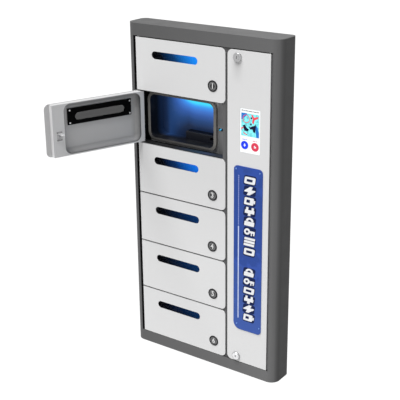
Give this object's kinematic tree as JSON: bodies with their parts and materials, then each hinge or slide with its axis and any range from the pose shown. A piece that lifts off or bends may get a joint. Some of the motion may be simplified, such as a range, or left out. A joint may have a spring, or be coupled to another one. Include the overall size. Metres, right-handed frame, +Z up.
{
  "type": "phone charging locker",
  "caption": "Wall-mounted charging locker for phones: small windowed doors with electric locks on one side, a tall keyed service door with a display and a sign on the other.",
  "frame": {"origin": "centre of the cabinet's flat back, on the wall and midway between the four wall bolts", "axes": "+X to the right seen from the front, +Y into the wall, +Z up"},
  "size_m": [0.4798, 0.2938, 0.824],
  "materials": {
    "casing_paint": "fine satin powder coat, dark grey",
    "back_paint": "satin powder coat, dark grey",
    "frame_paint": "satin powder coat, dark grey",
    "divider_paint": "satin powder coat, mid grey",
    "pin_steel": "turned, bright",
    "tray_plastic": "fine matte, near black",
    "lamp_diffuser": "translucent diffuser, lit pale blue",
    "charger_plastic": "fine matte black",
    "lock_zinc": "matte dark lock housing",
    "supply_case": "matte black moulded case",
    "grommet_rubber": "matte black",
    "door_paint": "satin powder coat, very light grey",
    "liner_paint": "satin powder coat, light grey",
    "lens_smoke": "smoked clear plastic",
    "window_black": "fine matte black",
    "striker_steel": "bright zinc-plated",
    "bolt_steel": "ground",
    "display_face": "lit display behind clear glass",
    "sign_face": "satin printed blue sheet",
    "lock_chrome": "satin chrome",
    "cam_steel": "zinc-plated"
  },
  "bodies": {
    "cabinet": {"casing": "casing_paint", "back_plate": "back_paint", "door_frame": "frame_paint", "mullion": "frame_paint", "dividers": "divider_paint", "hinge_pins": "pin_steel", "compartment_tray_1": "tray_plastic", "compartment_tray_2": "tray_plastic", "compartment_tray_3": "tray_plastic", "compartment_tray_4": "tray_plastic", "compartment_tray_5": "tray_plastic", "compartment_tray_6": "tray_plastic", "compartment_lamps": "lamp_diffuser", "charging_modules": "charger_plastic", "lock_bodies": "lock_zinc", "power_supply": "supply_case", "cable_grommet": "grommet_rubber"},
    "door_1": {"door_1_plate": "door_paint", "door_1_liner": "liner_paint", "door_1_window_lens": "lens_smoke", "door_1_window_frame": "window_black", "door_1_striker": "striker_steel"},
    "latch_1": {"latch_bolt_1": "bolt_steel"},
    "door_2": {"door_2_plate": "door_paint", "door_2_liner": "liner_paint", "door_2_window_lens": "lens_smoke", "door_2_window_frame": "window_black", "door_2_striker": "striker_steel"},
    "latch_2": {"latch_bolt_2": "bolt_steel"},
    "door_3": {"door_3_plate": "door_paint", "door_3_liner": "liner_paint", "door_3_window_lens": "lens_smoke", "door_3_window_frame": "window_black", "door_3_striker": "striker_steel"},
    "latch_3": {"latch_bolt_3": "bolt_steel"},
    "door_4": {"door_4_plate": "door_paint", "door_4_liner": "liner_paint", "door_4_window_lens": "lens_smoke", "door_4_window_frame": "window_black", "door_4_striker": "striker_steel"},
    "latch_4": {"latch_bolt_4": "bolt_steel"},
    "door_5": {"door_5_plate": "door_paint", "door_5_liner": "liner_paint", "door_5_window_lens": "lens_smoke", "door_5_window_frame": "window_black", "door_5_striker": "striker_steel"},
    "latch_5": {"latch_bolt_5": "bolt_steel"},
    "door_6": {"door_6_plate": "door_paint", "door_6_liner": "liner_paint", "door_6_window_lens": "lens_smoke", "door_6_window_frame": "window_black", "door_6_striker": "striker_steel"},
    "latch_6": {"latch_bolt_6": "bolt_steel"},
    "service_door": {"service_door_plate": "door_paint", "service_door_liner": "liner_paint", "display": "display_face", "sign_plate": "sign_face", "lock_barrels": "lock_chrome"},
    "upper_lock": {"upper_lock_cam": "cam_steel"},
    "lower_lock": {"lower_lock_cam": "cam_steel"}
  },
  "joints": [
    {"name": "door_1_hinge", "type": "hinge", "parent": "cabinet", "child": "door_1", "pos_m": [-0.17735, -0.0655, 0.31705], "axis": [0, 0, -1], "range_deg": [0, 111.2]},
    {"name": "latch_1_slide", "type": "slide", "parent": "cabinet", "child": "latch_1", "axis": [0, 0, 1], "range_m": [0, 0.0105]},
    {"name": "door_2_hinge", "type": "hinge", "parent": "cabinet", "child": "door_2", "pos_m": [-0.17735, -0.0655, 0.19005], "axis": [0, 0, -1], "range_deg": [-111.2, 0]},
    {"name": "latch_2_slide", "type": "slide", "parent": "cabinet", "child": "latch_2", "axis": [0, 0, 1], "range_m": [0, 0.0105]},
    {"name": "door_3_hinge", "type": "hinge", "parent": "cabinet", "child": "door_3", "pos_m": [-0.17735, -0.0655, 0.06305], "axis": [0, 0, -1], "range_deg": [0, 111.2]},
    {"name": "latch_3_slide", "type": "slide", "parent": "cabinet", "child": "latch_3", "axis": [0, 0, 1], "range_m": [0, 0.0105]},
    {"name": "door_4_hinge", "type": "hinge", "parent": "cabinet", "child": "door_4", "pos_m": [-0.17735, -0.0655, -0.06395], "axis": [0, 0, -1], "range_deg": [0, 111.2]},
    {"name": "latch_4_slide", "type": "slide", "parent": "cabinet", "child": "latch_4", "axis": [0, 0, 1], "range_m": [0, 0.0105]},
    {"name": "door_5_hinge", "type": "hinge", "parent": "cabinet", "child": "door_5", "pos_m": [-0.17735, -0.0655, -0.19095], "axis": [0, 0, -1], "range_deg": [0, 111.2]},
    {"name": "latch_5_slide", "type": "slide", "parent": "cabinet", "child": "latch_5", "axis": [0, 0, 1], "range_m": [0, 0.0105]},
    {"name": "door_6_hinge", "type": "hinge", "parent": "cabinet", "child": "door_6", "pos_m": [-0.17735, -0.0655, -0.31795], "axis": [0, 0, -1], "range_deg": [0, 111.2]},
    {"name": "latch_6_slide", "type": "slide", "parent": "cabinet", "child": "latch_6", "axis": [0, 0, 1], "range_m": [0, 0.0105]},
    {"name": "service_door_hinge", "type": "hinge", "parent": "cabinet", "child": "service_door", "pos_m": [0.18035, -0.0655, 0], "axis": [0, 0, 1], "range_deg": [0, 110]},
    {"name": "upper_lock_turn", "type": "hinge", "parent": "service_door", "child": "upper_lock", "pos_m": [0.10085, -0.07, 0.36325], "axis": [0, 1, 0], "range_deg": [0, 90]},
    {"name": "lower_lock_turn", "type": "hinge", "parent": "service_door", "child": "lower_lock", "pos_m": [0.10085, -0.07, -0.36665], "axis": [0, -1, 0], "range_deg": [0, 90]}
  ]
}
